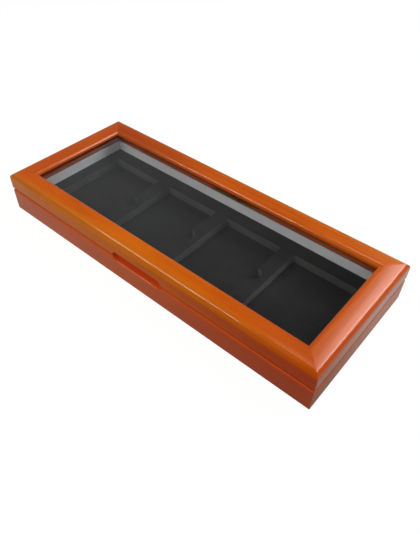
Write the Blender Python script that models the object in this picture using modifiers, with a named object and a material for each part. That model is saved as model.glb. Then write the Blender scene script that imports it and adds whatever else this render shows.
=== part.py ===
"""Multi glasses organizer: a lacquered wooden display case with a glazed lid.

A mitred base box carries a flocked tray with four recesses for folded
glasses.  A mitred lid frame, glazed from below, turns on one brass butt
hinge at the middle of the back.

Frame: origin at the centre of the underside, +X along the length of the
case, -Y towards the front (the side with the finger pull), +Z up.  Metres.
"""
import math

import bmesh
import bpy
from mathutils import Matrix, Vector

for old in list(bpy.data.objects):
    bpy.data.objects.remove(old, do_unlink=True)

# ------------------------------------------------------------------ sizes --
GAP = 0.0003                 # clearance between pieces that touch

CASE_LENGTH = 0.600          # along X
CASE_DEPTH = 0.244           # along Y
CASE_HEIGHT = 0.070          # along Z, lid closed
SEAM_Z = 0.04235             # parting plane between base and lid
CORNER_RADIUS = 0.0018       # vertical corner edges of the case

# base
BASE_TOP = SEAM_Z - GAP / 2
BASE_WALL = 0.0213           # thickness of the base rails
BASE_TOP_ROUND = 0.0078      # round-over at the seam
BASE_FOOT_EASE = 0.001       # eased lower edge
PANEL_THICKNESS = 0.004
PANEL_REBATE = 0.008         # how far the panel reaches under the rails
LINING_THICKNESS = 0.002

# lid
LID_BOTTOM = SEAM_Z + GAP / 2
LID_RAIL_WIDTH = 0.0344      # outer face to the edge of the bead
LID_WALL = 0.0095            # wooden wall below the glass
LID_TOP_ROUND = 0.0092
LID_BEAD_WIDTH = 0.0083      # rounded bead around the glass
LID_BEAD_DEPTH = 0.0065
LID_LOWER_EASE = 0.0010
LIP_UNDERSIDE = CASE_HEIGHT - LID_BEAD_DEPTH - 0.0004
STRIP_THICKNESS = 0.0018     # black tape between the lip and the glass
STRIP_WIDTH = 0.012
STRIP_SETBACK = 0.0008       # from the edge of the bead
GLASS_THICKNESS = 0.003
GLASS_TOP = LIP_UNDERSIDE - STRIP_THICKNESS - 2 * GAP

# tray
TRAY_TOP = 0.025
POCKET_COUNT = 4
POCKET_LENGTH = 0.108        # along X
POCKET_DEPTH = 0.1452        # along Y
POCKET_PITCH = 0.1324
POCKET_FLOOR = 0.010
POCKET_CORNER = 0.004
THUMB_NOTCH_RADIUS = 0.013

# finger pull: a round-nosed cut centred on the seam
PULL_RADIUS = 0.0093
PULL_SETBACK = 0.0033        # axis of the cut, in front of the case
PULL_HALF_LENGTH = 0.0405

# hinge
HINGE_LENGTH = 0.088
HINGE_AXIS_OUT = 0.001       # axis behind the back face
KNUCKLE_COUNT = 5
KNUCKLE_GAP = 0.0004
KNUCKLE_RADIUS = 0.0026
PIN_RADIUS = 0.0012
LEAF_THICKNESS = 0.0011
BASE_LEAF_WIDTH = 0.0210     # measured in from the back face
LID_LEAF_WIDTH = 0.0092
SCREW_XS = (-0.032, 0.0, 0.032)
SCREW_LENGTH = 0.0095
BASE_SCREW_INSET = 0.0090
LID_SCREW_INSET = 0.0052

HALF_L = CASE_LENGTH / 2
HALF_D = CASE_DEPTH / 2
HINGE_Y = HALF_D + HINGE_AXIS_OUT

# ------------------------------------------------------------ collections --
scene = bpy.context.scene
parts = bpy.data.collections.new("multi_glasses_organizer")
cutters = bpy.data.collections.new("cutters")
scene.collection.children.link(parts)
scene.collection.children.link(cutters)

lid_axis = bpy.data.objects.new("lid_hinge_axis", None)
lid_axis.location = (0.0, HINGE_Y, SEAM_Z)
lid_axis.empty_display_size = 0.03
parts.objects.link(lid_axis)


# -------------------------------------------------------------- materials --
def finish(name, colour, roughness, metallic=0.0, transmission=0.0):
    mat = bpy.data.materials.new(name)
    mat.use_nodes = True
    bsdf = mat.node_tree.nodes["Principled BSDF"]
    bsdf.inputs["Base Color"].default_value = (*colour, 1.0)
    bsdf.inputs["Roughness"].default_value = roughness
    bsdf.inputs["Metallic"].default_value = metallic
    bsdf.inputs["Transmission Weight"].default_value = transmission
    return mat


WOOD = finish("lacquered_wood", (0.52, 0.13, 0.02), 0.28)
PLY = finish("plywood_panel", (0.45, 0.26, 0.12), 0.6)
FLOCK = finish("black_flock", (0.02, 0.02, 0.021), 0.9)
LINING = finish("grey_lining", (0.42, 0.42, 0.43), 0.9)
GLASS = finish("clear_glass", (0.95, 0.98, 0.97), 0.02, transmission=1.0)
STRIP = finish("black_strip", (0.012, 0.012, 0.012), 0.7)
BRASS = finish("polished_brass", (0.72, 0.46, 0.14), 0.25, metallic=1.0)
STEEL = finish("brass_plated_steel", (0.66, 0.44, 0.18), 0.35, metallic=1.0)


# ---------------------------------------------------------------- helpers --
def new_object(name, bm, material=None, cutter=False, lid=False,
               location=(0.0, 0.0, 0.0), turn=0.0, smooth=True):
    """Wrap a bmesh in a named object of the right collection."""
    bmesh.ops.recalc_face_normals(bm, faces=bm.faces[:])
    mesh = bpy.data.meshes.new(name)
    bm.to_mesh(mesh)
    bm.free()
    if smooth:
        mesh.shade_smooth()
        mesh.set_sharp_from_angle(angle=math.radians(32))
    obj = bpy.data.objects.new(name, mesh)
    obj.location = location
    obj.rotation_euler = (0.0, 0.0, turn)
    if material is not None:
        mesh.materials.append(material)
    if cutter:
        obj.hide_render = True
        obj.display_type = 'WIRE'
        cutters.objects.link(obj)
    else:
        parts.objects.link(obj)
    if lid:
        obj.parent = lid_axis
        obj.location = Vector(location) - lid_axis.location
    return obj


def boolean(obj, tool, operation='DIFFERENCE'):
    mod = obj.modifiers.new(f"{operation.lower()}_{tool.name}"[:60], 'BOOLEAN')
    mod.operation = operation
    mod.solver = 'EXACT'
    mod.object = tool
    return mod


def arc(cx, cy, radius, start, stop, steps):
    """Points on an arc, angles in degrees."""
    out = []
    for i in range(steps + 1):
        a = math.radians(start + (stop - start) * i / steps)
        out.append((cx + radius * math.cos(a), cy + radius * math.sin(a)))
    return out


def box(bm, low, high):
    """A cuboid between two corners, added to a bmesh."""
    low, high = Vector(low), Vector(high)
    made = bmesh.ops.create_cube(bm, size=1.0)["verts"]
    bmesh.ops.scale(bm, vec=high - low, verts=made)
    bmesh.ops.translate(bm, vec=(low + high) / 2, verts=made)
    return made


def box_object(name, low, high, material=None, **kw):
    bm = bmesh.new()
    box(bm, low, high)
    return new_object(name, bm, material, smooth=False, **kw)


def turned(profile, segments):
    """Spin a (radius, height) profile about Z into a closed body."""
    bm = bmesh.new()
    verts = [bm.verts.new((r, 0.0, h)) for r, h in profile]
    edges = [bm.edges.new(pair) for pair in zip(verts, verts[1:])]
    bmesh.ops.spin(bm, geom=verts + edges, cent=(0, 0, 0), axis=(0, 0, 1),
                   angle=2 * math.pi, steps=segments, use_merge=True)
    bmesh.ops.remove_doubles(bm, verts=bm.verts[:], dist=1e-7)
    return bm


def prism(outline, low, high):
    """Extrude a closed XY outline from one height to another."""
    bm = bmesh.new()
    face = bm.faces.new([bm.verts.new((x, y, low)) for x, y in outline])
    grown = bmesh.ops.extrude_face_region(bm, geom=[face])["geom"]
    top = [g for g in grown if isinstance(g, bmesh.types.BMVert)]
    bmesh.ops.translate(bm, vec=(0, 0, high - low), verts=top)
    return bm


# How each side of a mitred frame is placed: its outer face, the turn that
# points local Y into the case, and the run it covers.
SIDES = {
    "front": ((0.0, -HALF_D, 0.0), 0.0, HALF_L),
    "right": ((HALF_L, 0.0, 0.0), math.pi / 2, HALF_D),
    "back": ((0.0, HALF_D, 0.0), math.pi, HALF_L),
    "left": ((-HALF_L, 0.0, 0.0), -math.pi / 2, HALF_D),
}


def mitred_rail(name, side, profile, material, lid=False):
    """Run a (depth, height) profile along one side and mitre both ends.

    Depth is measured inwards from the outer face, so the ends step in by
    the same amount and meet the neighbouring rail on a 45 degree plane.
    """
    location, turn, half = SIDES[side]
    step = GAP / math.sqrt(2)
    bm = bmesh.new()
    face = bm.faces.new([bm.verts.new((-1.0, d, h)) for d, h in profile])
    grown = bmesh.ops.extrude_face_region(bm, geom=[face])["geom"]
    far = [g for g in grown if isinstance(g, bmesh.types.BMVert)]
    bmesh.ops.translate(bm, vec=(2.0, 0, 0), verts=far)
    for vert in bm.verts:
        vert.co.x = math.copysign(half - vert.co.y - step, vert.co.x)
    return new_object(name, bm, material, lid=lid, location=location,
                      turn=turn)


# ---------------------------------------------------------------- cutters --
def corner_cutter(name, sx, sy):
    """Trims one vertical corner of the case to a small radius."""
    c, r = CORNER_RADIUS - 0.00005, CORNER_RADIUS
    outline = [(-0.004, -0.004), (c, -0.004)]
    outline += [(x, y) for x, y in arc(c, c, r, 270, 180, 8)]
    outline += [(-0.004, c)]
    outline = [(sx * (HALF_L - x), sy * (HALF_D - y)) for x, y in outline]
    return new_object(name, prism(outline, -0.005, 0.080), cutter=True)


CORNERS = {
    "front": (corner_cutter("corner_front_left", -1, -1),
              corner_cutter("corner_front_right", 1, -1)),
    "back": (corner_cutter("corner_back_left", -1, 1),
             corner_cutter("corner_back_right", 1, 1)),
}
CORNERS["left"] = (CORNERS["front"][0], CORNERS["back"][0])
CORNERS["right"] = (CORNERS["front"][1], CORNERS["back"][1])

# finger pull: a capsule lying along the seam, its axis in front of the face
capsule = ([(r, h + PULL_HALF_LENGTH)
            for r, h in arc(0, 0, PULL_RADIUS, 0, 90, 12)])
capsule[-1] = (0.0, PULL_HALF_LENGTH + PULL_RADIUS)
capsule = [(r, -h) for r, h in reversed(capsule)] + capsule
pull_bm = turned(capsule, 48)
bmesh.ops.rotate(pull_bm, verts=pull_bm.verts[:],
                 matrix=Matrix.Rotation(math.pi / 2, 3, 'Y'))
finger_pull = new_object("finger_pull_cut", pull_bm, cutter=True,
                         location=(0.0, -HALF_D - PULL_SETBACK, SEAM_Z))

# ------------------------------------------------------------------- base --
base_profile = arc(BASE_FOOT_EASE, BASE_FOOT_EASE, BASE_FOOT_EASE,
                   270, 180, 4)
base_profile += arc(BASE_TOP_ROUND, BASE_TOP - BASE_TOP_ROUND,
                    BASE_TOP_ROUND, 180, 90, 12)
base_profile += [
    (BASE_WALL, BASE_TOP),
    (BASE_WALL, PANEL_THICKNESS + GAP),
    (BASE_WALL - PANEL_REBATE, PANEL_THICKNESS + GAP),
    (BASE_WALL - PANEL_REBATE, 0.0),
]

base_rails = {}
for side in SIDES:
    rail = mitred_rail(f"base_{side}_rail", side, base_profile, WOOD)
    for tool in CORNERS[side]:
        boolean(rail, tool)
    base_rails[side] = rail

panel_inset = BASE_WALL - PANEL_REBATE + GAP
box_object("base_bottom_panel",
           (-HALF_L + panel_inset, -HALF_D + panel_inset, 0.0),
           (HALF_L - panel_inset, HALF_D - panel_inset, PANEL_THICKNESS),
           PLY)

# lining strips stand on the panel against the inside of the rails
lining_outer = BASE_WALL + GAP
lining_inner = lining_outer + LINING_THICKNESS
lining_low = PANEL_THICKNESS + GAP
lining_profile = [
    (lining_outer, lining_low),
    (lining_outer, BASE_TOP - GAP),
    (lining_inner, BASE_TOP - GAP),
    (lining_inner, lining_low),
]
for side in SIDES:
    mitred_rail(f"lining_{side}", side, lining_profile, LINING)

# ------------------------------------------------------------------- tray --
tray_inset = lining_inner + GAP
tray = box_object("glasses_tray",
                  (-HALF_L + tray_inset, -HALF_D + tray_inset, lining_low),
                  (HALF_L - tray_inset, HALF_D - tray_inset, TRAY_TOP),
                  FLOCK)


def pocket_outline(cx):
    """Rounded rectangle with a half-round thumb notch on its +X side."""
    hx, hy, r = POCKET_LENGTH / 2, POCKET_DEPTH / 2, POCKET_CORNER
    pts = arc(-hx + r, -hy + r, r, 180, 270, 6)
    pts += arc(hx - r, -hy + r, r, 270, 360, 6)
    pts += arc(hx, 0.0, THUMB_NOTCH_RADIUS, -90, 90, 20)
    pts += arc(hx - r, hy - r, r, 0, 90, 6)
    pts += arc(-hx + r, hy - r, r, 90, 180, 6)
    return [(x + cx, y) for x, y in pts]


for i in range(POCKET_COUNT):
    centre = (i - (POCKET_COUNT - 1) / 2) * POCKET_PITCH
    pocket = new_object(f"pocket_cut_{i + 1}",
                        prism(pocket_outline(centre), POCKET_FLOOR, 0.040),
                        cutter=True)
    boolean(tray, pocket)

# -------------------------------------------------------------------- lid --
bead_start = LID_RAIL_WIDTH - LID_BEAD_WIDTH
lid_profile = arc(LID_LOWER_EASE, LID_BOTTOM + LID_LOWER_EASE,
                  LID_LOWER_EASE, 270, 180, 4)
lid_profile += arc(LID_TOP_ROUND, CASE_HEIGHT - LID_TOP_ROUND,
                   LID_TOP_ROUND, 180, 90, 12)
# the bead is a quarter ellipse, wider than it is deep
lid_profile += [(bead_start + x * LID_BEAD_WIDTH,
                 CASE_HEIGHT - LID_BEAD_DEPTH + z * LID_BEAD_DEPTH)
                for x, z in arc(0.0, 0.0, 1.0, 90, 0, 12)]
lid_profile += [
    (LID_RAIL_WIDTH, LIP_UNDERSIDE),
    (LID_WALL, LIP_UNDERSIDE),
    (LID_WALL, LID_BOTTOM),
]

lid_rails = {}
for side in SIDES:
    rail = mitred_rail(f"lid_{side}_rail", side, lid_profile, WOOD, lid=True)
    for tool in CORNERS[side]:
        boolean(rail, tool)
    lid_rails[side] = rail

for rails in (base_rails, lid_rails):
    boolean(rails["front"], finger_pull)

strip_inner = LID_RAIL_WIDTH - STRIP_SETBACK
strip_outer = strip_inner - STRIP_WIDTH
strip_top = LIP_UNDERSIDE - GAP
glass_low = GLASS_TOP - GLASS_THICKNESS
strip_profile = [
    (strip_outer, strip_top - STRIP_THICKNESS),
    (strip_outer, strip_top),
    (strip_inner, strip_top),
    (strip_inner, strip_top - STRIP_THICKNESS),
]
for side in SIDES:
    mitred_rail(f"glass_strip_{side}", side, strip_profile, STRIP, lid=True)

glass_inset = LID_WALL + 0.0008
glass = box_object("lid_glass",
                   (-HALF_L + glass_inset, -HALF_D + glass_inset, glass_low),
                   (HALF_L - glass_inset, HALF_D - glass_inset, GLASS_TOP),
                   GLASS, lid=True)
edge = glass.modifiers.new("ground_edge", 'BEVEL')
edge.width = 0.0004
edge.segments = 1

# ------------------------------------------------------------------ hinge --
knuckle = ((HINGE_LENGTH - (KNUCKLE_COUNT - 1) * KNUCKLE_GAP)
           / KNUCKLE_COUNT)
starts = [-HINGE_LENGTH / 2 + i * (knuckle + KNUCKLE_GAP)
          for i in range(KNUCKLE_COUNT)]
MORTISE_HALF = HINGE_LENGTH / 2 + GAP


def knuckle_tool(name, indices, radius, trim):
    """Cylinders on the hinge axis for the given knuckles."""
    bm = bmesh.new()
    for i in indices:
        made = bmesh.ops.create_cone(
            bm, cap_ends=True, segments=32, radius1=radius, radius2=radius,
            depth=knuckle + 2 * trim)["verts"]
        bmesh.ops.rotate(bm, verts=made,
                         matrix=Matrix.Rotation(math.pi / 2, 3, 'Y'))
        bmesh.ops.translate(bm, verts=made,
                            vec=(starts[i] + knuckle / 2, 0, 0))
    return new_object(name, bm, cutter=True, location=(0, HINGE_Y, SEAM_Z))


def axis_rod(name, radius, half_length, segments=32):
    bm = bmesh.new()
    bmesh.ops.create_cone(bm, cap_ends=True, segments=segments,
                          radius1=radius, radius2=radius,
                          depth=2 * half_length,
                          matrix=Matrix.Rotation(math.pi / 2, 4, 'Y'))
    return new_object(name, bm, cutter=True, location=(0, HINGE_Y, SEAM_Z))


def notch_tool(name, indices):
    """Clears a leaf's plate around the other leaf's knuckles."""
    bm = bmesh.new()
    reach = HINGE_Y - KNUCKLE_RADIUS - 0.0004
    for i in indices:
        box(bm, (starts[i] - KNUCKLE_GAP, reach, SEAM_Z - 0.004),
            (starts[i] + knuckle + KNUCKLE_GAP, HINGE_Y + 0.004,
             SEAM_Z + 0.004))
    return new_object(name, bm, cutter=True, smooth=False)


def screw_holes(name, inset, plate_face, direction):
    """Countersunk holes that run on into the wood behind the plate."""
    bm = bmesh.new()
    depth = SCREW_LENGTH + 0.0008
    for x in SCREW_XS:
        one = turned([(0.0, 0.0010), (0.0038, 0.0010), (0.0015, -0.0013),
                      (0.0015, -depth), (0.0, -depth)], 24)
        if direction > 0:
            bmesh.ops.rotate(one, verts=one.verts[:],
                             matrix=Matrix.Rotation(math.pi, 3, 'X'))
        bmesh.ops.translate(one, verts=one.verts[:],
                            vec=(x, HALF_D - inset, plate_face))
        copy = bpy.data.meshes.new("hole")
        one.to_mesh(copy)
        one.free()
        bm.from_mesh(copy)
        bpy.data.meshes.remove(copy)
    return new_object(name, bm, cutter=True)


base_knuckles, lid_knuckles = (0, 2, 4), (1, 3)
pin_bore = axis_rod("pin_bore", PIN_RADIUS + 0.0003, HINGE_LENGTH)

base_holes = screw_holes("base_screw_holes", BASE_SCREW_INSET,
                         BASE_TOP, -1)
lid_holes = screw_holes("lid_screw_holes", LID_SCREW_INSET,
                        LID_BOTTOM, 1)

base_leaf = box_object(
    "hinge_base_leaf",
    (-HINGE_LENGTH / 2 + 0.00005, HALF_D - BASE_LEAF_WIDTH,
     BASE_TOP - LEAF_THICKNESS),
    (HINGE_LENGTH / 2 - 0.00005, HINGE_Y, BASE_TOP),
    BRASS)
boolean(base_leaf, notch_tool("base_leaf_notches", lid_knuckles))
boolean(base_leaf, knuckle_tool("base_knuckle_barrels", base_knuckles,
                                KNUCKLE_RADIUS, 0.0), 'UNION')
boolean(base_leaf, pin_bore)
boolean(base_leaf, base_holes)

lid_leaf = box_object(
    "hinge_lid_leaf",
    (-HINGE_LENGTH / 2 + 0.00005, HALF_D - LID_LEAF_WIDTH, LID_BOTTOM),
    (HINGE_LENGTH / 2 - 0.00005, HINGE_Y, LID_BOTTOM + LEAF_THICKNESS),
    BRASS, lid=True)
boolean(lid_leaf, notch_tool("lid_leaf_notches", base_knuckles))
boolean(lid_leaf, knuckle_tool("lid_knuckle_barrels", lid_knuckles,
                               KNUCKLE_RADIUS, 0.0), 'UNION')
boolean(lid_leaf, pin_bore)
boolean(lid_leaf, lid_holes)

# pin with a small domed head at each end
end = HINGE_LENGTH / 2 + GAP
pin_half = [(PIN_RADIUS, end), (0.0020, end), (0.0020, end + 0.0006),
            (0.0014, end + 0.0011), (0.0, end + 0.0013)]
pin_profile = [(r, -h) for r, h in reversed(pin_half)] + pin_half
pin_bm = turned(pin_profile, 32)
bmesh.ops.rotate(pin_bm, verts=pin_bm.verts[:],
                 matrix=Matrix.Rotation(math.pi / 2, 3, 'Y'))
new_object("hinge_pin", pin_bm, BRASS, location=(0, HINGE_Y, SEAM_Z))

# mortises for the leaves, relief for the barrel, pilot holes in the wood
base_mortise = box_object(
    "base_mortise",
    (-MORTISE_HALF, HALF_D - BASE_WALL - 0.001,
     BASE_TOP - LEAF_THICKNESS - GAP),
    (MORTISE_HALF, HALF_D + 0.004, BASE_TOP + 0.003), cutter=True)
lid_mortise = box_object(
    "lid_mortise",
    (-MORTISE_HALF, HALF_D - LID_WALL - 0.001, LID_BOTTOM - 0.003),
    (MORTISE_HALF, HALF_D + 0.004, LID_BOTTOM + LEAF_THICKNESS + GAP),
    cutter=True)
barrel_relief = axis_rod("barrel_relief", KNUCKLE_RADIUS + 0.0004,
                         HINGE_LENGTH / 2 + 0.0022, segments=40)
boolean(base_rails["back"], base_mortise)
boolean(base_rails["back"], base_holes)
boolean(lid_rails["back"], lid_mortise)
boolean(lid_rails["back"], barrel_relief)
boolean(lid_rails["back"], lid_holes)


# countersunk screws with a cross recess, one shape shared by all six
def screw_mesh():
    bm = turned([(0.0, 0.0), (0.0023, 0.0), (0.0023, -0.0001),
                 (0.0012, -0.0012), (0.0012, -0.0072),
                 (0.0, -SCREW_LENGTH)], 24)
    blank = new_object("screw_blank", bm)
    cross_bm = bmesh.new()
    box(cross_bm, (-0.0014, -0.0003, -0.0008), (0.0014, 0.0003, 0.001))
    one = new_object("cross_slot_1", cross_bm, cutter=True, smooth=False)
    cross_bm = bmesh.new()
    box(cross_bm, (-0.0003, -0.0014, -0.0008), (0.0003, 0.0014, 0.001))
    two = new_object("cross_slot_2", cross_bm, cutter=True, smooth=False)
    boolean(blank, one)
    boolean(blank, two)
    graph = bpy.context.evaluated_depsgraph_get()
    mesh = bpy.data.meshes.new_from_object(blank.evaluated_get(graph))
    mesh.name = "countersunk_screw"
    mesh.materials.clear()
    mesh.materials.append(STEEL)
    for spare in (blank, one, two):
        bpy.data.objects.remove(spare, do_unlink=True)
    return mesh


screw = screw_mesh()
for i, x in enumerate(SCREW_XS, start=1):
    low = bpy.data.objects.new(f"hinge_base_screw_{i}", screw)
    low.location = (x, HALF_D - BASE_SCREW_INSET, BASE_TOP - 0.0001)
    parts.objects.link(low)
    high = bpy.data.objects.new(f"hinge_lid_screw_{i}", screw)
    high.rotation_euler = (math.pi, 0.0, 0.0)
    high.parent = lid_axis
    high.location = (Vector((x, HALF_D - LID_SCREW_INSET,
                             LID_BOTTOM + 0.0001)) - lid_axis.location)
    parts.objects.link(high)
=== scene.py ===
import math

import bmesh
import bpy
from mathutils import Matrix, Vector, noise


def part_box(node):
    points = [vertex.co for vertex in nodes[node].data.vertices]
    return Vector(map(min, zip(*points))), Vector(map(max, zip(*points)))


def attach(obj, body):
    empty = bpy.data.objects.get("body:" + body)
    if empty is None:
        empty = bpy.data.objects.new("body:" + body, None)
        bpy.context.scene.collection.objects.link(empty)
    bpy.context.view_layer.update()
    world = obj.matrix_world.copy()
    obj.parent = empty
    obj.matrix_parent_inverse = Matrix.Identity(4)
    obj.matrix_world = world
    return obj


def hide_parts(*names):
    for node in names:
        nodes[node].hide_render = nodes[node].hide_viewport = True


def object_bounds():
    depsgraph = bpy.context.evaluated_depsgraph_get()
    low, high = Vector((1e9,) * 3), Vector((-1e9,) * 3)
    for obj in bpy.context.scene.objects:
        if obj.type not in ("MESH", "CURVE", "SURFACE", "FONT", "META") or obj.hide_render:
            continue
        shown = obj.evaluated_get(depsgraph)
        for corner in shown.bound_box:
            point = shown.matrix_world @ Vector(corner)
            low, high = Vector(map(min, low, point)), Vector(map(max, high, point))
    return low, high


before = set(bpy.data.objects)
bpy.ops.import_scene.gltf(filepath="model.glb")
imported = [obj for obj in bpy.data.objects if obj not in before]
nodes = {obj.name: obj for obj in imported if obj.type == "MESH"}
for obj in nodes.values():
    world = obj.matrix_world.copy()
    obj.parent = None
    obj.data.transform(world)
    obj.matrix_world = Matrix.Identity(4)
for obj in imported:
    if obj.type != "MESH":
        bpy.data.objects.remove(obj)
cad_low, cad_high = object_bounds()

scene = bpy.context.scene
MM = 0.001


# ======================================================================
# Node helpers
# ======================================================================
class Graph:
    """A small builder for a material's node tree."""

    def __init__(self, name):
        self.mat = bpy.data.materials.new(name)
        self.mat.use_nodes = True
        self.tree = self.mat.node_tree
        self.tree.nodes.clear()
        self.out = self.add("ShaderNodeOutputMaterial")

    def add(self, kind, **props):
        node = self.tree.nodes.new(kind)
        for key, value in props.items():
            setattr(node, key, value)
        return node

    def link(self, a, b):
        self.tree.links.new(a, b)

    def feed(self, socket, value):
        if isinstance(value, bpy.types.NodeSocket):
            self.link(value, socket)
        elif value is not None:
            socket.default_value = value

    def math(self, op, a, b=None, c=None, clamp=False):
        node = self.add("ShaderNodeMath", operation=op, use_clamp=clamp)
        for i, v in enumerate((a, b, c)):
            self.feed(node.inputs[i], v)
        return node.outputs[0]

    def vmath(self, op, a, b=None, scale=None):
        node = self.add("ShaderNodeVectorMath", operation=op)
        self.feed(node.inputs[0], a)
        if b is not None:
            self.feed(node.inputs[1], b)
        if scale is not None:
            self.feed(node.inputs["Scale"], scale)
        return node.outputs["Value"] if op in ("LENGTH", "DOT_PRODUCT") \
            else node.outputs[0]

    def ramp(self, value, lo, hi, to_lo=0.0, to_hi=1.0, smooth=True):
        node = self.add("ShaderNodeMapRange", clamp=True)
        node.interpolation_type = "SMOOTHSTEP" if smooth else "LINEAR"
        self.feed(node.inputs["Value"], value)
        node.inputs["From Min"].default_value = lo
        node.inputs["From Max"].default_value = hi
        node.inputs["To Min"].default_value = to_lo
        node.inputs["To Max"].default_value = to_hi
        return node.outputs["Result"]

    def mix(self, factor, a, b, blend="MIX"):
        node = self.add("ShaderNodeMix", data_type="RGBA", blend_type=blend)
        self.feed(node.inputs["Factor"], factor)
        for socket, v in ((node.inputs[6], a), (node.inputs[7], b)):
            if isinstance(v, tuple) and len(v) == 3:
                v = (*v, 1.0)
            self.feed(socket, v)
        return node.outputs[2]

    def noise(self, vector, scale=1.0, detail=2.0, rough=0.5, distort=0.0):
        node = self.add("ShaderNodeTexNoise")
        self.feed(node.inputs["Vector"], vector)
        node.inputs["Scale"].default_value = scale
        node.inputs["Detail"].default_value = detail
        node.inputs["Roughness"].default_value = rough
        node.inputs["Distortion"].default_value = distort
        return node.outputs["Fac"]

    def stretch(self, vector, scale, shift=(0, 0, 0)):
        node = self.add("ShaderNodeMapping")
        self.feed(node.inputs["Vector"], vector)
        node.inputs["Location"].default_value = shift
        node.inputs["Scale"].default_value = scale
        return node.outputs[0]

    def bump(self, height, strength, distance, normal=None):
        node = self.add("ShaderNodeBump")
        self.feed(node.inputs["Height"], height)
        node.inputs["Strength"].default_value = strength
        node.inputs["Distance"].default_value = distance
        if normal is not None:
            self.link(normal, node.inputs["Normal"])
        return node.outputs[0]

    def principled(self, **inputs):
        node = self.add("ShaderNodeBsdfPrincipled")
        for key, value in inputs.items():
            name = key.replace("_", " ")
            if isinstance(value, tuple) and len(value) == 3:
                value = (*value, 1.0)
            self.feed(node.inputs[name], value)
        self.link(node.outputs[0], self.out.inputs["Surface"])
        return node


def srgb(r, g, b):
    def one(c):
        c /= 255.0
        return c / 12.92 if c <= 0.04045 else ((c + 0.055) / 1.055) ** 2.4
    return (one(r), one(g), one(b))


# ======================================================================
# Materials
# ======================================================================
def grain_space(g, axis, seed):
    """Object coordinates turned so that the grain runs along X."""
    tc = g.add("ShaderNodeTexCoord")
    parts = g.add("ShaderNodeSeparateXYZ")
    g.link(tc.outputs["Object"], parts.inputs[0])
    order = {"X": (0, 1, 2), "Y": (1, 0, 2)}[axis]
    join = g.add("ShaderNodeCombineXYZ")
    for i, j in enumerate(order):
        g.link(parts.outputs[j], join.inputs[i])
    shift = g.vmath("ADD", join.outputs[0],
                    (seed * 1.37, seed * 0.61, seed * 0.29))
    return tc, parts, join.outputs[0], shift


def along_board(g, where, half, first, middle, last):
    """A value that changes smoothly from one end of a board to the other."""
    low = g.ramp(where, -half, 0.0, first - middle, 0.0, smooth=False)
    high = g.ramp(where, 0.0, half, 0.0, last - middle, smooth=False)
    return g.math("ADD", g.math("ADD", low, high), middle)


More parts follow.
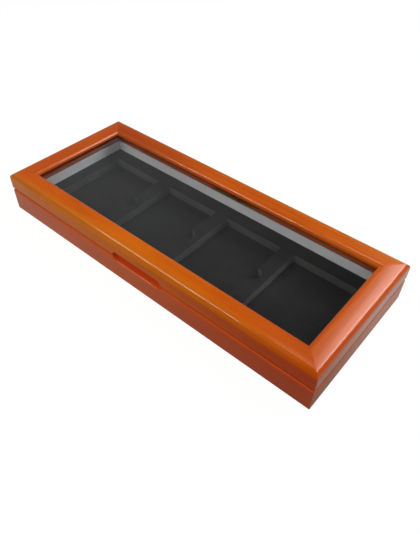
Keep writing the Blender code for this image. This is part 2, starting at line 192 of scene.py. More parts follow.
def lacquered_wood(name, axis, seed, heart, tone=0.0, gold=(0.6, 0.6, 0.6),
                   ground=((188, 100, 8), (226, 142, 22)),
                   level=(1, 1, 1), green=(1, 1, 1), amber=(0.5, 0.5, 0.5),
                   bright=(1, 1, 1), coat=0.50, gloss=0.18,
                   seam_shadow=(0.5, 0.5, 0.5), burnish=None):
    """Stained hardwood under a clear satin-gloss lacquer.

    heart is where the log's centre lies beside the board (across, up), so
    the rings show as straight grain on one face and as wider figure on the
    other.  tone shifts this board's stain a little.  The sprayed stain
    changes along a board, so these hold a value for its first end, middle
    and last end: gold, how far the rounded edges are rubbed back to the
    ground colour; level and green, the strength of the flat top's colour;
    amber and bright, how golden and how light the upright face is.
    burnish is the lacquer's strength on the lid's rounded edge and bead,
    where handling has polished it.
    """
    g = Graph(name)
    tc, parts, raw, space = grain_space(g, axis, seed)
    run = parts.outputs[0 if axis == "X" else 1]
    half = 0.28 if axis == "X" else 0.11

    # growth rings around the log's centre line, wandering along the board
    wander = g.noise(g.stretch(space, (2.2, 16, 16)), 1.0, 3.0, 0.55)
    wander = g.math("MULTIPLY", g.math("SUBTRACT", wander, 0.5), 0.020)
    flat = g.add("ShaderNodeCombineXYZ")
    split = g.add("ShaderNodeSeparateXYZ")
    g.link(raw, split.inputs[0])
    g.link(g.math("SUBTRACT", split.outputs[1], heart[0]), flat.inputs[1])
    g.link(g.math("SUBTRACT", split.outputs[2], heart[1]), flat.inputs[2])
    radius = g.math("ADD", g.vmath("LENGTH", flat.outputs[0]), wander)
    ring = g.math("FRACT", g.math("DIVIDE", radius, 0.0062))
    late = g.math("MULTIPLY", g.ramp(ring, 0.35, 0.93),
                  g.ramp(ring, 0.93, 1.0, 1.0, 0.0))

    # long fibres, streaks of stain, cloudy blotches, open pores
    fibre = g.noise(g.stretch(space, (22, 950, 950)), 1.0, 3.0, 0.6)
    streak = g.noise(g.stretch(space, (4.5, 150, 150)), 1.0, 4.0, 0.6)
    cloud = g.noise(g.stretch(space, (7, 17, 17)), 1.0, 2.0, 0.5)
    pore = g.noise(g.stretch(space, (95, 2100, 2100)), 1.0, 1.0, 0.5)
    pore = g.ramp(pore, 0.66, 0.76)

    value = g.math("ADD", 0.56 + tone,
                   g.math("MULTIPLY", g.math("SUBTRACT", fibre, 0.5), 0.34))
    value = g.math("ADD", value, g.math(
        "MULTIPLY", g.math("SUBTRACT", streak, 0.5), 0.17))
    value = g.math("ADD", value, g.math(
        "MULTIPLY", g.math("SUBTRACT", cloud, 0.5), 0.26))
    value = g.math("SUBTRACT", value, g.math("MULTIPLY", late, 0.05))
    value = g.math("SUBTRACT", value, g.math("MULTIPLY", pore, 0.12))

    normal = g.add("ShaderNodeSeparateXYZ")
    g.link(tc.outputs["Normal"], normal.inputs[0])
    up = g.math("ABSOLUTE", normal.outputs[2])
    flat_top = g.ramp(up, 0.25, 0.80)
    top = stain(g, value, (136, 40, 2), (190, 68, 3), (224, 98, 4),
                (244, 130, 14))
    tint = g.add("ShaderNodeCombineColor")
    strength = along_board(g, run, half, *level)
    g.link(strength, tint.inputs[0])
    g.link(g.math("MULTIPLY", strength, along_board(g, run, half, *green)),
           tint.inputs[1])
    g.link(strength, tint.inputs[2])
    top = g.mix(1.0, top, tint.outputs[0], "MULTIPLY")
    # the upright faces run from a deep red to a golden amber
    red = stain(g, value, (122, 24, 4), (170, 42, 4), (202, 58, 6),
                (224, 80, 14))
    golden = stain(g, value, (122, 63, 6), (170, 89, 8), (202, 108, 10),
                   (224, 120, 18))
    side = g.mix(along_board(g, run, half, *amber), red, golden)
    shade = g.add("ShaderNodeCombineColor")
    for i in range(3):
        g.link(along_board(g, run, half, *bright), shade.inputs[i])
    side = g.mix(1.0, side, shade.outputs[0], "MULTIPLY")
    colour = g.mix(flat_top, side, top)

    # rounded edges are rubbed back, so the ground colour shows through
    rub_back = along_board(g, run, half, *gold)
    inset = g.math("MINIMUM",
                   g.math("SUBTRACT", 0.300, g.math(
                       "ABSOLUTE", parts.outputs[0])),
                   g.math("SUBTRACT", 0.122, g.math(
                       "ABSOLUTE", parts.outputs[1])))
    edge = g.math("MULTIPLY", g.ramp(up, 0.06, 0.42),
                  g.ramp(inset, 0.006, 0.0165, 1.0, 0.0))
    rub = g.noise(g.stretch(space, (9, 60, 60)), 1.0, 2.0, 0.5)
    edge = g.math("MULTIPLY", edge, g.ramp(rub, 0.25, 0.75, 0.75, 1.0))
    colour = g.mix(g.math("MULTIPLY", edge, rub_back), colour,
                   g.mix(fibre, srgb(*ground[0]), srgb(*ground[1])))

    # painted shade: a dark line along the parting line, where the lid's lower edge shades
    # the gap
    line = g.math("MULTIPLY", g.ramp(parts.outputs[2], 0.0388, 0.0400),
                  g.ramp(parts.outputs[2], 0.0428, 0.0442, 1.0, 0.0))
    line = g.math("MULTIPLY", line, g.ramp(inset, 0.0032, 0.0055, 1.0, 0.0))
    line = g.math("MULTIPLY", line, along_board(g, run, half, *seam_shadow))
    colour = g.mix(line, colour, srgb(52, 14, 6))

    # painted light: the flat top of the base's rails, shaded under the lid, is lightened
    # towards a pale pink
    if name.endswith("rail") and "base" in name:
        rim_painted_light = g.math("MULTIPLY", g.ramp(inset, 0.0082, 0.0096),
                     g.ramp(up, 0.90, 0.98))
        colour = g.mix(g.math("MULTIPLY", rim_painted_light, 0.55), colour,
                       srgb(226, 138, 102))

    # inside the finger pull: deep red stain, darkened towards the top by painted shade
    # under the lid's edge; the lacquer is thin
    inside = None
    if "front" in name:
        inside = g.math("MULTIPLY", g.ramp(inset, 0.0003, 0.0009),
                        g.ramp(g.math("ABSOLUTE", parts.outputs[0]),
                               0.0500, 0.0515, 1.0, 0.0))
        inside = g.math("MULTIPLY", inside,
                        g.ramp(parts.outputs[2], 0.0520, 0.0530, 1.0, 0.0))
        inside = g.math("MULTIPLY", inside,
                        g.ramp(parts.outputs[2], 0.0315, 0.0325))
        inside = g.math("MULTIPLY", inside,
                        g.ramp(inset, 0.0075, 0.0085, 1.0, 0.0))
        pull_stain_and_shade = g.mix(g.ramp(parts.outputs[2], 0.0425, 0.0485),
                     srgb(196, 52, 6), srgb(96, 22, 8))
        colour = g.mix(g.math("MULTIPLY", inside, 0.8), colour, pull_stain_and_shade)

    # lacquer: level, with a trace of the fibres telegraphing through
    base_normal = g.bump(g.math("ADD", fibre, g.math("MULTIPLY", pore, -0.8)),
                         0.08, 0.0003)
    sag = g.noise(g.stretch(space, (14, 45, 45)), 1.0, 1.0, 0.4)
    coat_normal = g.bump(sag, 0.05, 0.0015)
    rough = g.ramp(streak, 0.2, 0.8, 0.40, 0.48)
    coat_rough = g.ramp(cloud, 0.25, 0.75, gloss - 0.02, gloss + 0.03)
    film = coat
    if burnish is not None:
        round_over = g.math("MULTIPLY", g.ramp(up, 0.70, 0.80),
                            g.ramp(inset, 0.0075, 0.0092, 1.0, 0.0))
        bead = g.math("MULTIPLY", g.ramp(inset, 0.0262, 0.0275),
                      g.ramp(up, 0.990, 0.999, 1.0, 0.0))
        worn = g.math("ADD", round_over, bead, clamp=True)
        film = g.math("ADD", coat, g.math("MULTIPLY", worn, burnish - coat))
        coat_rough = g.math("SUBTRACT", coat_rough,
                            g.math("MULTIPLY", worn, 0.04))
    if inside is not None:
        film = g.math("MULTIPLY", film, g.math(
            "SUBTRACT", 1.0, g.math("MULTIPLY", inside, 0.88)))
    g.principled(Base_Color=colour, Roughness=rough, Normal=base_normal,
                 Specular_IOR_Level=0.40, Specular_Tint=(1.0, 0.45, 0.12),
                 Coat_Weight=film, Coat_Roughness=coat_rough, Coat_IOR=1.5,
                 Coat_Normal=coat_normal)
    return g.mat


def stain(g, value, *colours):
    """Four stain colours, dark to light, at even steps of value."""
    ramp = g.add("ShaderNodeValToRGB")
    elements = ramp.color_ramp.elements
    places = (0.05, 0.38, 0.62, 0.95)
    elements[0].position, elements[1].position = places[0], places[3]
    elements[0].color = (*srgb(*colours[0]), 1)
    elements[1].color = (*srgb(*colours[3]), 1)
    for at, colour in zip(places[1:3], colours[1:3]):
        elements.new(at).color = (*srgb(*colour), 1)
    g.feed(ramp.inputs[0], value)
    return ramp.outputs[0]


def plywood(name):
    g = Graph(name)
    tc, parts, raw, space = grain_space(g, "X", 3.1)
    figure = g.noise(g.stretch(space, (3, 45, 45)), 1.0, 4.0, 0.6, 0.6)
    fibre = g.noise(g.stretch(space, (30, 800, 800)), 1.0, 3.0, 0.6)
    value = g.math("ADD", g.math("MULTIPLY", figure, 0.7),
                   g.math("MULTIPLY", fibre, 0.3))
    colour = g.mix(g.ramp(value, 0.3, 0.7), srgb(140, 96, 58),
                   srgb(196, 156, 108))
    # thin dark glue lines on the edge of the sheet
    ply = g.math("FRACT", g.math("DIVIDE", parts.outputs[2], 0.00135))
    glue = g.ramp(ply, 0.86, 0.95)
    normal = g.add("ShaderNodeSeparateXYZ")
    g.link(tc.outputs["Normal"], normal.inputs[0])
    side = g.ramp(g.math("ABSOLUTE", normal.outputs[2]), 0.3, 0.7, 1.0, 0.0)
    colour = g.mix(g.math("MULTIPLY", glue, side), colour, srgb(84, 54, 34))
    g.principled(Base_Color=colour, Roughness=0.62,
                 Normal=g.bump(fibre, 0.25, 0.0003))
    return g.mat


def flock(name, dark, light, wall=None, lint=0.0):
    """Short upright pile: matt, and thinner (so greyer) on upright walls."""
    g = Graph(name)
    tc = g.add("ShaderNodeTexCoord")
    obj = tc.outputs["Object"]
    pile = g.noise(obj, 2600.0, 2.0, 0.7)
    brushed = g.noise(g.stretch(obj, (22, 30, 30)), 1.0, 4.0, 0.6, 0.8)
    value = g.math("ADD", g.math("MULTIPLY", pile, 0.55),
                   g.math("MULTIPLY", brushed, 0.45))
    colour = g.mix(g.ramp(value, 0.32, 0.68), dark, light)
    if wall:
        normal = g.add("ShaderNodeSeparateXYZ")
        g.link(tc.outputs["Normal"], normal.inputs[0])
        upright = g.ramp(g.math("ABSOLUTE", normal.outputs[2]), 0.35, 0.80,
                         1.0, 0.0)
        patchy = g.ramp(brushed, 0.3, 0.7, 0.75, 1.0)
        colour = g.mix(g.math("MULTIPLY", upright, patchy), colour, wall)
    if lint:
        cell = g.add("ShaderNodeTexVoronoi", feature="F1")
        g.feed(cell.inputs["Vector"], obj)
        cell.inputs["Scale"].default_value = 42.0
        speck = g.ramp(cell.outputs["Distance"], 0.012, 0.03, 1.0, 0.0)
        pick = g.add("ShaderNodeSeparateColor")
        g.link(cell.outputs["Color"], pick.inputs[0])
        keep = g.ramp(pick.outputs[0], 0.80, 0.86)
        colour = g.mix(g.math("MULTIPLY", g.math("MULTIPLY", speck, keep),
                              lint), colour, srgb(150, 150, 148))
    g.principled(Base_Color=colour, Roughness=0.95, Specular_IOR_Level=0.12,
                 Sheen_Weight=0.25, Sheen_Roughness=0.45,
                 Sheen_Tint=(0.8, 0.8, 0.82),
                 Normal=g.bump(pile, 0.6, 0.0005))
    return g.mat


def suede(name):
    """Light grey lining cloth with a soft nap."""
    g = Graph(name)
    tc = g.add("ShaderNodeTexCoord")
    obj = tc.outputs["Object"]
    nap = g.noise(obj, 1500.0, 3.0, 0.65)
    shade = g.noise(g.stretch(obj, (28, 28, 40)), 1.0, 3.0, 0.55, 0.6)
    value = g.math("ADD", g.math("MULTIPLY", nap, 0.4),
                   g.math("MULTIPLY", shade, 0.6))
    colour = g.mix(g.ramp(value, 0.3, 0.7), srgb(228, 229, 232),
                   srgb(242, 242, 245))
    g.principled(Base_Color=colour, Roughness=0.9, Specular_IOR_Level=0.15,
                 Sheen_Weight=0.2, Sheen_Roughness=0.5,
                 Normal=g.bump(nap, 0.45, 0.0004))
    return g.mat


def clear_glass(name):
    """A thin clear pane: mirror at grazing angles, a trace of dust."""
    g = Graph(name)
    tc = g.add("ShaderNodeTexCoord")
    obj = tc.outputs["Object"]
    fresnel = g.add("ShaderNodeFresnel")
    fresnel.inputs["IOR"].default_value = 1.46
    geo = g.add("ShaderNodeNewGeometry")
    front = g.math("SUBTRACT", 1.0, geo.outputs["Backfacing"])
    # both surfaces of the pane reflect; all of it is shown on the entry face
    twice = g.math("DIVIDE", g.math("MULTIPLY", fresnel.outputs[0], 2.0),
                   g.math("ADD", 1.0, fresnel.outputs[0]))
    reflect = g.math("MULTIPLY", twice, front)
    clear = g.add("ShaderNodeBsdfTransparent")
    clear.inputs["Color"].default_value = (0.975, 0.982, 0.978, 1)
    gloss = g.add("ShaderNodeBsdfGlossy")
    gloss.inputs["Roughness"].default_value = 0.02
    gloss.inputs["Color"].default_value = (0.96, 0.98, 1.0, 1)
    film = g.add("ShaderNodeBsdfDiffuse")
    film.inputs["Color"].default_value = (0.9, 0.91, 0.92, 1)
    wipe = g.noise(g.stretch(obj, (9, 26, 26), (0.3, 0.1, 0)), 1.0, 5.0,
                   0.62, 0.5)
    dust = g.math("MULTIPLY", g.ramp(wipe, 0.40, 0.75, 0.003, 0.010), front)
    mirror = g.add("ShaderNodeMixShader")
    g.link(reflect, mirror.inputs[0])
    g.link(clear.outputs[0], mirror.inputs[1])
    g.link(gloss.outputs[0], mirror.inputs[2])
    both = g.add("ShaderNodeMixShader")
    g.link(dust, both.inputs[0])
    g.link(mirror.outputs[0], both.inputs[1])
    g.link(film.outputs[0], both.inputs[2])
    g.link(both.outputs[0], g.out.inputs["Surface"])
    return g.mat


def brass(name, tint, rough):
    g = Graph(name)
    tc = g.add("ShaderNodeTexCoord")
    obj = tc.outputs["Object"]
    brush = g.noise(g.stretch(obj, (60, 2600, 2600)), 1.0, 3.0, 0.6)
    tarnish = g.noise(g.stretch(obj, (60, 60, 60)), 1.0, 4.0, 0.6)
    colour = g.mix(g.ramp(tarnish, 0.45, 0.72), tint, srgb(150, 104, 48))
    g.principled(Base_Color=colour, Metallic=0.78,
                 Roughness=g.ramp(brush, 0.3, 0.7, rough - 0.06, rough + 0.1),
                 Normal=g.bump(brush, 0.10, 0.0002))
    return g.mat


# one board per rail, each with its own figure and its own pass of stain
RED_GROUND = ((190, 52, 6), (222, 84, 12))
# each board's seam entry sets how dark the painted shade along its parting line is, at
# each end and the middle
BOARDS = {
    "base_front_rail": dict(
        axis="X", seed=1.0, heart=(-0.150, -0.060), tone=-0.02,
        gold=(0.9, 0.95, 0.9), ground=((208, 58, 8), (238, 96, 14)),
        amber=(0.40, 0.45, 0.20), bright=(1.18, 1.24, 0.88),
        seam_shadow=(0.55, 0.35, 0.85)),
    "base_back_rail": dict(
        axis="X", seed=2.0, heart=(0.160, -0.050), tone=-0.02,
        gold=(0.8, 0.8, 0.8), ground=RED_GROUND),
    "base_left_rail": dict(
        axis="Y", seed=3.0, heart=(-0.330, -0.070), tone=-0.03,
        gold=(0.8, 0.8, 0.8), ground=RED_GROUND),
    "base_right_rail": dict(
        axis="Y", seed=4.0, heart=(0.340, -0.060), gold=(0.5, 0.5, 0.5),
        ground=RED_GROUND, amber=(0.75, 0.75, 0.75), coat=0.45,
        seam_shadow=(0.9, 0.9, 0.9)),
    "lid_front_rail": dict(
        axis="X", seed=5.0, heart=(-0.100, 0.170), tone=0.03,
        gold=(0.62, 0.70, 0.15), ground=((186, 100, 8), (222, 134, 20)),
        level=(0.89, 0.93, 0.76), green=(0.95, 1.24, 0.86),
        amber=(1.0, 0.66, 0.14),
        bright=(1.22, 1.16, 0.84), coat=0.16, gloss=0.12, burnish=0.66,
        seam_shadow=(0.45, 0.40, 0.85)),
    "lid_back_rail": dict(
        axis="X", seed=6.0, heart=(0.120, 0.165),
        gold=(0.15, 0.25, 0.45), level=(0.68, 0.88, 0.86),
        green=(0.86, 1.08, 1.18), coat=0.26, burnish=0.85),
    "lid_left_rail": dict(
        axis="Y", seed=7.0, heart=(-0.310, 0.160), tone=-0.06,
        gold=(0.15, 0.15, 0.15), level=(0.92, 0.90, 0.86),
        coat=0.40, burnish=0.85),
    "lid_right_rail": dict(
        axis="Y", seed=8.0, heart=(0.270, 0.180), gold=(0.5, 0.5, 0.5),
        ground=RED_GROUND, amber=(0.75, 0.75, 0.75), level=(0.88, 0.90, 0.92),
        green=(1.05, 1.05, 1.05), coat=0.90, gloss=0.19,
        seam_shadow=(0.9, 0.9, 0.9)),
}
mats = {name: lacquered_wood("lacquer_" + name, **spec)
        for name, spec in BOARDS.items()}
PLY = plywood("plywood_panel")
FLOCK = flock("black_flock", srgb(24, 24, 25), srgb(38, 38, 39),
              wall=srgb(82, 82, 82), lint=0.6)
STRIP = flock("black_felt_tape", srgb(14, 14, 14), srgb(26, 26, 26))
SUEDE = suede("grey_lining")
GLASS = clear_glass("clear_glass")
BRASS = brass("polished_brass", srgb(220, 172, 84), 0.36)
SCREW = brass("screw_brass", srgb(200, 158, 86), 0.30)

for name in nodes:
    if name.startswith("hinge") and "screw" in name:
        mats[name] = SCREW
    elif name.startswith("hinge"):
        mats[name] = BRASS
mats["lid_glass"] = GLASS
mats["base_bottom_panel"] = PLY


# ======================================================================
# Finish on the carried-over solids: joined facets, eased arrises
# ======================================================================
HALF_L, HALF_D = cad_high[0], -cad_low[1]
MITRE_STEP = 0.3 * MM / math.sqrt(2)


def tidy_group(name, angle, run=None, pull=False):
    """Join the facets, mark smooth edges and say which arrises to ease.

    run is a rail's own direction: the two mitred ends are drawn along it
    until the joint is a closed hairline, and their edges stay crisp.  With
    pull, the edges of the finger pull are eased more than the others.
    """
    g = bpy.data.node_groups.new(name, "GeometryNodeTree")
    g.interface.new_socket("Geometry", in_out="INPUT",
                           socket_type="NodeSocketGeometry")
    g.interface.new_socket("Geometry", in_out="OUTPUT",
                           socket_type="NodeSocketGeometry")
    n, link = g.nodes, g.links.new

    def calc(op, a, b=None):
        node = n.new("ShaderNodeMath")
        node.operation = op
        for i, v in enumerate((a, b)):
            if isinstance(v, bpy.types.NodeSocket):
                link(v, node.inputs[i])
            elif v is not None:
                node.inputs[i].default_value = v
        return node.outputs[0]

    def both(op, a, b=None):
        node = n.new("FunctionNodeBooleanMath")
        node.operation = op
        link(a, node.inputs[0])
        if b is not None:
            link(b, node.inputs[1])
        return node.outputs[0]

    def compare(op, a, b):
        node = n.new("FunctionNodeCompare")
        node.data_type, node.operation = "FLOAT", op
        link(a, node.inputs["A"])
        node.inputs["B"].default_value = b
        return node.outputs[0]

    first, last = n.new("NodeGroupInput"), n.new("NodeGroupOutput")
    weld = n.new("GeometryNodeMergeByDistance")
    weld.inputs["Distance"].default_value = 1.5e-6
    free = n.new("GeometryNodeRemoveAttribute")
    free.inputs["Name"].default_value = "custom_normal"
    link(first.outputs[0], weld.inputs["Geometry"])
    link(weld.outputs[0], free.inputs["Geometry"])
    shape = free.outputs[0]

    turn = n.new("GeometryNodeInputMeshEdgeAngle").outputs["Unsigned Angle"]
    eased = compare("GREATER_THAN", turn, angle)
    if run:
        place = n.new("GeometryNodeInputPosition")
        xyz = n.new("ShaderNodeSeparateXYZ")
        link(place.outputs[0], xyz.inputs[0])
        ends = calc("SUBTRACT", HALF_L, calc("ABSOLUTE", xyz.outputs[0]))
        sides = calc("SUBTRACT", HALF_D, calc("ABSOLUTE", xyz.outputs[1]))
        past = calc("SUBTRACT", *((ends, sides) if run == "X"
                                  else (sides, ends)))
        mitre = compare("LESS_THAN", past, MITRE_STEP * 1.25)
        keep = n.new("GeometryNodeCaptureAttribute")
        keep.capture_items.new("BOOLEAN", "mitre")
        keep.domain = "POINT"
        link(shape, keep.inputs["Geometry"])
        link(mitre, keep.inputs[1])
        offset = n.new("ShaderNodeCombineXYZ")
        along = 0 if run == "X" else 1
        link(calc("MULTIPLY", calc("SIGN", xyz.outputs[along]),
                  MITRE_STEP * 0.93), offset.inputs[along])
        draw = n.new("GeometryNodeSetPosition")
        link(keep.outputs[0], draw.inputs["Geometry"])
        link(keep.outputs[1], draw.inputs["Selection"])
        link(offset.outputs[0], draw.inputs["Offset"])
        shape = draw.outputs[0]
        eased = both("AND", eased, both("NOT", keep.outputs[1]))

    weight = n.new("GeometryNodeStoreNamedAttribute")
    weight.data_type, weight.domain = "FLOAT", "EDGE"
    weight.inputs["Name"].default_value = "bevel_weight_edge"
    link(shape, weight.inputs["Geometry"])
    if pull:
        spot = n.new("GeometryNodeInputPosition")
        at = n.new("ShaderNodeSeparateXYZ")
        link(spot.outputs[0], at.inputs[0])
        near = both("AND", compare("LESS_THAN", calc(
            "ABSOLUTE", at.outputs[0]), 0.0515),
            compare("LESS_THAN", at.outputs[1], -0.1190))
        near = both("AND", near, compare("LESS_THAN", calc("ABSOLUTE", calc(
            "SUBTRACT", at.outputs[2], 0.0424)), 0.0125))
        share = calc("ADD", calc("MULTIPLY", near, 1.0 - ARRIS / PULL_EASE),
                     ARRIS / PULL_EASE)
        eased = calc("MULTIPLY", share, eased)
    link(eased, weight.inputs["Value"])
    faces = n.new("GeometryNodeSetShadeSmooth")
    faces.domain = "FACE"
    faces.inputs["Shade Smooth"].default_value = True
    edges = n.new("GeometryNodeSetShadeSmooth")
    edges.domain = "EDGE"
    link(weight.outputs[0], faces.inputs["Geometry"])
    link(faces.outputs[0], edges.inputs["Geometry"])
    link(compare("LESS_THAN", turn, angle), edges.inputs["Shade Smooth"])
    link(edges.outputs[0], last.inputs[0])
    return g


SHARP = math.radians(34)
ARRIS, PULL_EASE = 0.30 * MM, 0.80 * MM
TIDY = {None: tidy_group("joined_and_smooth", SHARP),
        "X": tidy_group("rail_along_x", SHARP, "X"),
        "Y": tidy_group("rail_along_y", SHARP, "Y"),
        "pull": tidy_group("rail_with_pull", SHARP, "X", pull=True)}


def refine(obj, ease, segments=2, run=None):
    tidy = obj.modifiers.new("joined", "NODES")
    tidy.node_group = TIDY[run]
    flat = obj.modifiers.new("plane_faces", "DECIMATE")
    flat.decimate_type = "DISSOLVE"
    flat.angle_limit = math.radians(0.6)
    soft = obj.modifiers.new("eased_arris", "BEVEL")
    soft.width = ease
    soft.segments = segments
    soft.limit_method = "WEIGHT"
    soft.harden_normals = True


for name, obj in nodes.items():
    if name in mats:
        for slot in obj.material_slots:
            slot.material = mats[name]
        if name.endswith("_rail"):
            rail = BOARDS[name]["axis"]
            if "front" in name:
                refine(obj, PULL_EASE, 3, "pull")
            else:
                refine(obj, ARRIS, run=rail)
        elif name == "lid_glass":
            refine(obj, 0.15 * MM, 1)
        elif "screw" in name:
            refine(obj, 0.05 * MM)
        elif name.startswith("hinge"):
            refine(obj, 0.12 * MM)
        else:
            refine(obj, 0.20 * MM)


# ======================================================================
# Soft pieces
# ======================================================================
def welded(node):
    """A CAD node's shape as one joined bmesh with whole flat faces."""
    bm = bmesh.new()
    bm.from_mesh(nodes[node].data)
    bmesh.ops.remove_doubles(bm, verts=bm.verts[:], dist=1.5e-6)
    bmesh.ops.dissolve_limit(bm, angle_limit=math.radians(0.5),
                             verts=bm.verts[:], edges=bm.edges[:])
    return bm


def finish_piece(name, bm, material, node, body, smooth_angle=None):
    mesh = bpy.data.meshes.new(name)
    bm.to_mesh(mesh)
    bm.free()
    for layer in ("custom_normal", "sharp_edge", "sharp_face"):
        if layer in mesh.attributes:
            mesh.attributes.remove(mesh.attributes[layer])
    mesh.materials.clear()
    mesh.materials.append(material)
    mesh.shade_smooth()
    if smooth_angle:
        mesh.set_sharp_from_angle(angle=smooth_angle)
    obj = bpy.data.objects.new(name, mesh)
    scene.collection.objects.link(obj)
    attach(obj, body)
    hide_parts(node)
    return obj


def slice_up(bm, lo, hi, step):
    """Cut a mesh along evenly spaced planes, so it can be shaped."""
    for axis in (0, 1):
        count = max(1, round((hi[axis] - lo[axis]) / step))
        normal = Vector((1, 0, 0)) if axis == 0 else Vector((0, 1, 0))
        for i in range(1, count):
            at = lo[axis] + (hi[axis] - lo[axis]) * i / count
            bmesh.ops.bisect_plane(
                bm, geom=bm.verts[:] + bm.edges[:] + bm.faces[:],
                dist=1e-7, plane_co=normal * at, plane_no=normal)


# --- the flocked tray: rolled edges, gently uneven top and floors ---
tray_low, tray_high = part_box("glasses_tray")
bm = welded("glasses_tray")
sharp = [e for e in bm.edges
         if len(e.link_faces) == 2 and e.calc_face_angle(0) > 0.6]
bmesh.ops.bevel(bm, geom=sharp, offset=1.3 * MM, offset_type="OFFSET",
                segments=4, profile=0.5, affect="EDGES", clamp_overlap=True)
slice_up(bm, tray_low, tray_high, 6 * MM)
bm.normal_update()
for v in bm.verts:
    x, y, z = v.co
    inner = min(x - tray_low.x, tray_high.x - x,
                y - tray_low.y, tray_high.y - y)
    if inner < 0.4 * MM or z < tray_low.z + 0.5 * MM:
        continue
    swell = noise.noise(Vector((x * 26, y * 26, 1.7)))
    fine = noise.noise(Vector((x * 140, y * 140, z * 140 + 4.2)))
    v.co += v.normal * (0.16 * MM * swell + 0.05 * MM * fine)
tray = finish_piece("flocked_glasses_tray", bm, FLOCK, "glasses_tray",
                    "base", math.radians(50))


# --- lining strips: cloth wrapped over card, with a soft rolled top ---
def lining(side):
    node = f"lining_{side}"
    low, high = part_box(node)
    along = 0 if side in ("front", "back") else 1
    across = 1 - along
    half = (high[along] - low[along]) / 2
    thick = high[across] - low[across]
    outer_at, inward = ((low[across], 1.0) if side in ("front", "left")
                        else (high[across], -1.0))
    # section: up the outside, over the rolled top, down the inside
    r = thick / 2 - 0.05 * MM
    section = [(0.0, low.z), (0.0, low.z + 0.010), (0.0, low.z + 0.020),
               (0.0, high.z - r)]
    for i in range(1, 9):
        a = math.pi - math.pi * i / 8
        section.append((thick / 2 + r * math.cos(a),
                        high.z - r + r * math.sin(a)))
    down = 10
    for i in range(1, down + 1):
        section.append((thick, high.z - r
                        - (high.z - r - low.z) * i / down))
    count = round(2 * half / (5 * MM))
    bm = bmesh.new()
    rings = []
    seed = {"front": 1.0, "back": 2.0, "left": 3.0, "right": 4.0}[side]
    for k in range(count + 1):
        t = -1 + 2 * k / count
        ring = []
        for d, z in section:
            s = t * (half - d)          # mitred ends
            wave = noise.noise(Vector((s * 22, z * 35, seed)))
            fine = noise.noise(Vector((s * 120, z * 120, seed + 9)))
            push = 0.0
            if d > thick * 0.5 and z > low.z + 0.022:
                push = (0.10 * wave + 0.04 * fine) * MM
            co = [0.0, 0.0, z]
            co[along] = s
            co[across] = outer_at + inward * (d + push)
            ring.append(bm.verts.new(co))
        rings.append(ring)
    size = len(section)
    for a, b in zip(rings, rings[1:]):
        for i in range(size):
            j = (i + 1) % size
            bm.faces.new((a[i], a[j], b[j], b[i]))
    bm.faces.new(list(reversed(rings[0])))
    bm.faces.new(rings[-1])
    bmesh.ops.recalc_face_normals(bm, faces=bm.faces[:])
    return finish_piece(f"cloth_{node}", bm, SUEDE, node, "base",
                        math.radians(60))


# --- black felt tape between the lip and the glass ---
def tape(side):
    node = f"glass_strip_{side}"
    low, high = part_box(node)
    along = 0 if side in ("front", "back") else 1
    across = 1 - along
    half = (high[along] - low[along]) / 2
    wide = high[across] - low[across]
    thick = high.z - low.z
    outer_at, inward = ((low[across], 1.0) if side in ("front", "left")
                        else (high[across], -1.0))
    # section, as (distance from the outer edge, height): rounded corners,
    # with the long flats divided so that they can be uneven
    r = 0.5 * MM
    section = []
    for cx, cz, start in ((wide - r, thick - r, 90), (wide - r, r, 0),
                          (r, r, -90), (r, thick - r, -180)):
        for i in range(5):
            a = math.radians(start - 90 * i / 4)
            section.append((cx + r * math.cos(a), cz + r * math.sin(a)))
        if start in (0, -180):
            for i in range(1, 5):
                d = wide * i / 5
                section.append((d, thick) if start == -180
                               else (wide - d, 0.0))
    count = round(2 * half / (5 * MM))
    seed = {"front": 5.0, "back": 6.0, "left": 7.0, "right": 8.0}[side]
    bm = bmesh.new()
    rings = []
    for k in range(count + 1):
        t = -1 + 2 * k / count
        ring = []
        for d, z in section:
            s = t * (half - d)
            wave = noise.noise(Vector((s * 60, d * 200, seed)))
            co = [0.0, 0.0, low.z + z]
            if z < thick / 2:
                co[2] += 0.06 * MM * (1.0 + wave)
            co[along] = s
            co[across] = outer_at + inward * (
                d - (0.12 * MM * (1.0 + wave) if d > wide / 2 else 0.0))
            ring.append(bm.verts.new(co))
        rings.append(ring)
    size = len(section)
    for a, b in zip(rings, rings[1:]):
        for i in range(size):
            j = (i + 1) % size
            bm.faces.new((a[i], a[j], b[j], b[i]))
    bm.faces.new(list(reversed(rings[0])))
    bm.faces.new(rings[-1])
    bmesh.ops.recalc_face_normals(bm, faces=bm.faces[:])
    return finish_piece(f"felt_tape_{side}", bm, STRIP, node, "lid",
                        math.radians(60))


for side in ("front", "back", "left", "right"):
    lining(side)
    tape(side)

# ======================================================================
# Stage: floor, light, camera
# ======================================================================
bm = bmesh.new()
bmesh.ops.create_grid(bm, x_segments=8, y_segments=8, size=6.0)
mesh = bpy.data.meshes.new("floor")
bm.to_mesh(mesh)
bm.free()
floor = bpy.data.objects.new("floor", mesh)
floor.location = (0, 0, -0.0004)
scene.collection.objects.link(floor)
g = Graph("pale_floor")
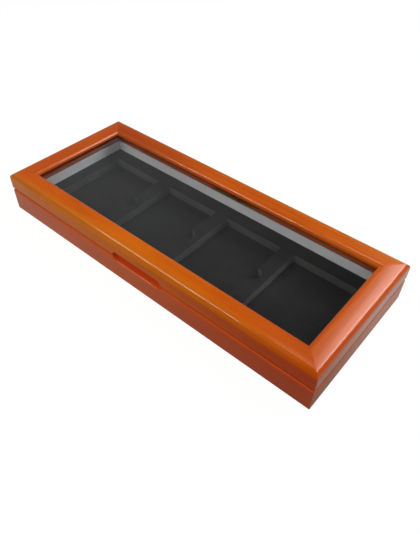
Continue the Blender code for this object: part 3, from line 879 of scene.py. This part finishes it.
# seen directly the floor is a white sweep with a trace of contact shadow;
# as a light source it is a duller table, brighter behind and to the left
path = g.add("ShaderNodeLightPath")
tc = g.add("ShaderNodeTexCoord")
where = g.add("ShaderNodeSeparateXYZ")
g.link(tc.outputs["Object"], where.inputs[0])
behind = g.ramp(where.outputs[1], -0.16, 0.10, 0.0, 1.0)
along = g.ramp(where.outputs[0], -0.35, 0.30, 0.18, 0.07)
strength = g.math("ADD", along, g.math("MULTIPLY", behind, 0.24))
seen = g.add("ShaderNodeEmission")
seen.inputs["Strength"].default_value = 0.955
seen_matt = g.add("ShaderNodeBsdfDiffuse")
seen_matt.inputs["Color"].default_value = (0.08, 0.08, 0.08, 1)
seen_sum = g.add("ShaderNodeAddShader")
g.link(seen.outputs[0], seen_sum.inputs[0])
g.link(seen_matt.outputs[0], seen_sum.inputs[1])
matt = g.add("ShaderNodeBsdfDiffuse")
matt.inputs["Color"].default_value = (0.30, 0.30, 0.30, 1)
glow = g.add("ShaderNodeEmission")
g.link(strength, glow.inputs["Strength"])
total = g.add("ShaderNodeAddShader")
g.link(matt.outputs[0], total.inputs[0])
g.link(glow.outputs[0], total.inputs[1])
pick = g.add("ShaderNodeMixShader")
g.link(path.outputs["Is Camera Ray"], pick.inputs[0])
g.link(total.outputs[0], pick.inputs[1])
g.link(seen_sum.outputs[0], pick.inputs[2])
g.link(pick.outputs[0], g.out.inputs["Surface"])
mesh.materials.append(g.mat)

world = bpy.data.worlds.new("studio")
scene.world = world
world.use_nodes = True
wn, wl = world.node_tree.nodes, world.node_tree.links
wn.clear()
w_out = wn.new("ShaderNodeOutputWorld")
w_bg = wn.new("ShaderNodeBackground")
w_tc = wn.new("ShaderNodeTexCoord")
w_sep = wn.new("ShaderNodeSeparateXYZ")
w_map = wn.new("ShaderNodeMapRange")
wl.new(w_tc.outputs["Generated"], w_sep.inputs[0])
wl.new(w_sep.outputs[0], w_map.inputs["Value"])
w_map.inputs["From Min"].default_value = -0.66
w_map.inputs["From Max"].default_value = -0.22
w_map.inputs["To Min"].default_value = 0.20
w_map.inputs["To Max"].default_value = 0.025
# seen directly, the room is the same white as the floor
w_path = wn.new("ShaderNodeLightPath")
w_pick = wn.new("ShaderNodeMix")
w_pick.data_type = "FLOAT"
wl.new(w_path.outputs["Is Camera Ray"], w_pick.inputs["Factor"])
wl.new(w_map.outputs[0], w_pick.inputs["A"])
w_pick.inputs["B"].default_value = 0.98
wl.new(w_pick.outputs["Result"], w_bg.inputs["Strength"])
w_bg.inputs["Color"].default_value = (1, 1, 1, 1)
wl.new(w_bg.outputs[0], w_out.inputs["Surface"])


def softbox(name, place, width, height, power, aim=(0, 0, 0.05),
            colour=(1.0, 1.0, 1.0), level=False, mirrored=True):
    lamp = bpy.data.lights.new(name, "AREA")
    lamp.shape = "RECTANGLE"
    lamp.size, lamp.size_y = width, height
    lamp.energy = power
    lamp.color = colour
    obj = bpy.data.objects.new(name, lamp)
    obj.location = place
    direction = (Vector(place) - Vector(aim)).normalized()
    obj.rotation_mode = "QUATERNION"
    turn = direction.to_track_quat("Z", "Y")
    if level:
        # the long side runs along the case
        side = Vector((1, 0, 0)) - direction * direction.x
        side.normalize()
        turn = Matrix((side, direction.cross(side),
                       direction)).transposed().to_quaternion()
    obj.rotation_quaternion = turn
    # a fill light brightens the case without showing up in the glass
    obj.visible_glossy = mirrored
    scene.collection.objects.link(obj)
    return obj


def around(az, el, distance=1.8):
    az, el = math.radians(az), math.radians(el)
    return (distance * math.cos(el) * math.cos(az),
            distance * math.cos(el) * math.sin(az),
            distance * math.sin(el) + 0.05)


softbox("window_behind", (0.31, 1.18, 1.33), 0.56, 0.80, 7.6, level=True)
softbox("window_corner", (0.84, 1.14, 1.30), 0.46, 0.80, 9.5, level=True)
softbox("softbox_right_back", around(45, 27), 0.75, 0.70, 5.2,
        mirrored=False)
softbox("softbox_right_low", around(315, 26), 0.70, 0.70, 4.4,
        mirrored=False)
softbox("softbox_front", around(270, 38), 0.90, 0.60, 7.4,
        mirrored=False)
softbox("ceiling_panel", (-0.15, 0.72, 1.75), 0.36, 0.30, 1.6)
softbox("tube_front", (-0.90, -0.65, 1.62), 0.85, 0.12, 8.6,
        colour=(1.0, 0.95, 0.84), level=True)

# camera, at the viewing angle of the reference view
FOCAL_PX, IMAGE_LONG = 506.22, 534
right = Vector((0.7605431336855938, 0.6491264554655973, 0.01445636947393203))
down = Vector((0.46673365591145277, -0.5310951032110388, -0.7071758520939367))
ahead = Vector((-0.45136884722278586, 0.5445850127940776,
                -0.7068898977894985))
cam_data = bpy.data.cameras.new("camera")
cam_data.lens = FOCAL_PX / IMAGE_LONG * cam_data.sensor_width
cam_data.clip_start, cam_data.clip_end = 0.02, 50
camera = bpy.data.objects.new("camera", cam_data)
turn = Matrix((right, -down, -ahead)).transposed().to_4x4()
camera.matrix_world = Matrix.Translation(
    ((1.1758228 - 0.5) * 0.6, (-0.5379165 - 0.4059510 / 2) * 0.6,
     0.9314480 * 0.6)) @ turn
scene.collection.objects.link(camera)
scene.camera = camera

scene.view_settings.view_transform = "Standard"
scene.view_settings.look = "None"
scene.view_settings.exposure = 0.0
scene.view_settings.gamma = 1.0
